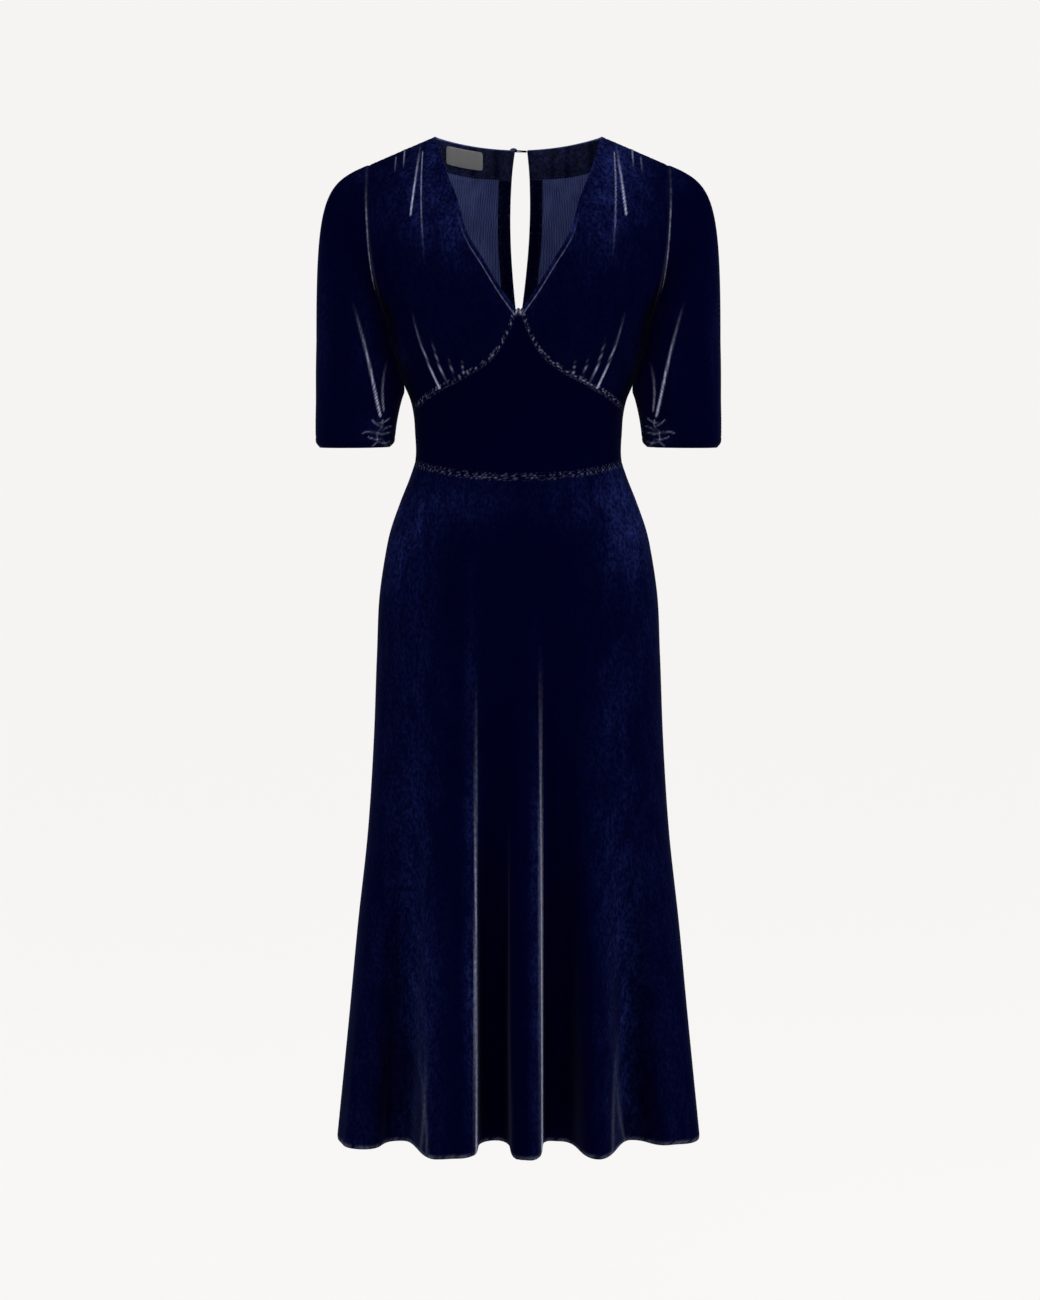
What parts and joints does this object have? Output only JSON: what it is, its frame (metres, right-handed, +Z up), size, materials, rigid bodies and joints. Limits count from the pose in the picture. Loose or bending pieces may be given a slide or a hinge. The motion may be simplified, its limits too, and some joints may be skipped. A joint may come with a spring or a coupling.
{
  "type": "tea dress",
  "caption": "Velvet midi tea dress in its hollow worn form, with a V neck, keyhole back, fitted midriff, elbow sleeves and a flared skirt.",
  "frame": {"origin": "midway between the two high shoulder points, where the shoulder seams meet the neck edge; the wearer's shoulders hold the dress there", "axes": "+Z up, the front faces -Y, +X towards the wearer's left"},
  "size_m": [0.4722, 0.2981, 1.166],
  "materials": {
    "velvet": "dark navy velvet with a soft crushed pile that shines where it is seen along its surface",
    "label": "dark grey woven satin label, plain"
  },
  "bodies": {
    "root": {"bodice_back_left": "velvet", "bodice_back_right": "velvet", "bodice_front_left": "velvet", "bodice_front_right": "velvet", "button": "velvet", "button_loop": "velvet", "keyhole_facing_left": "velvet", "keyhole_facing_right": "velvet", "label": "label", "midriff_front": "velvet", "neck_facing_left": "velvet", "neck_facing_right": "velvet", "skirt_back": "velvet", "skirt_front": "velvet", "sleeve_left": "velvet", "sleeve_right": "velvet"}
  },
  "joints": []
}
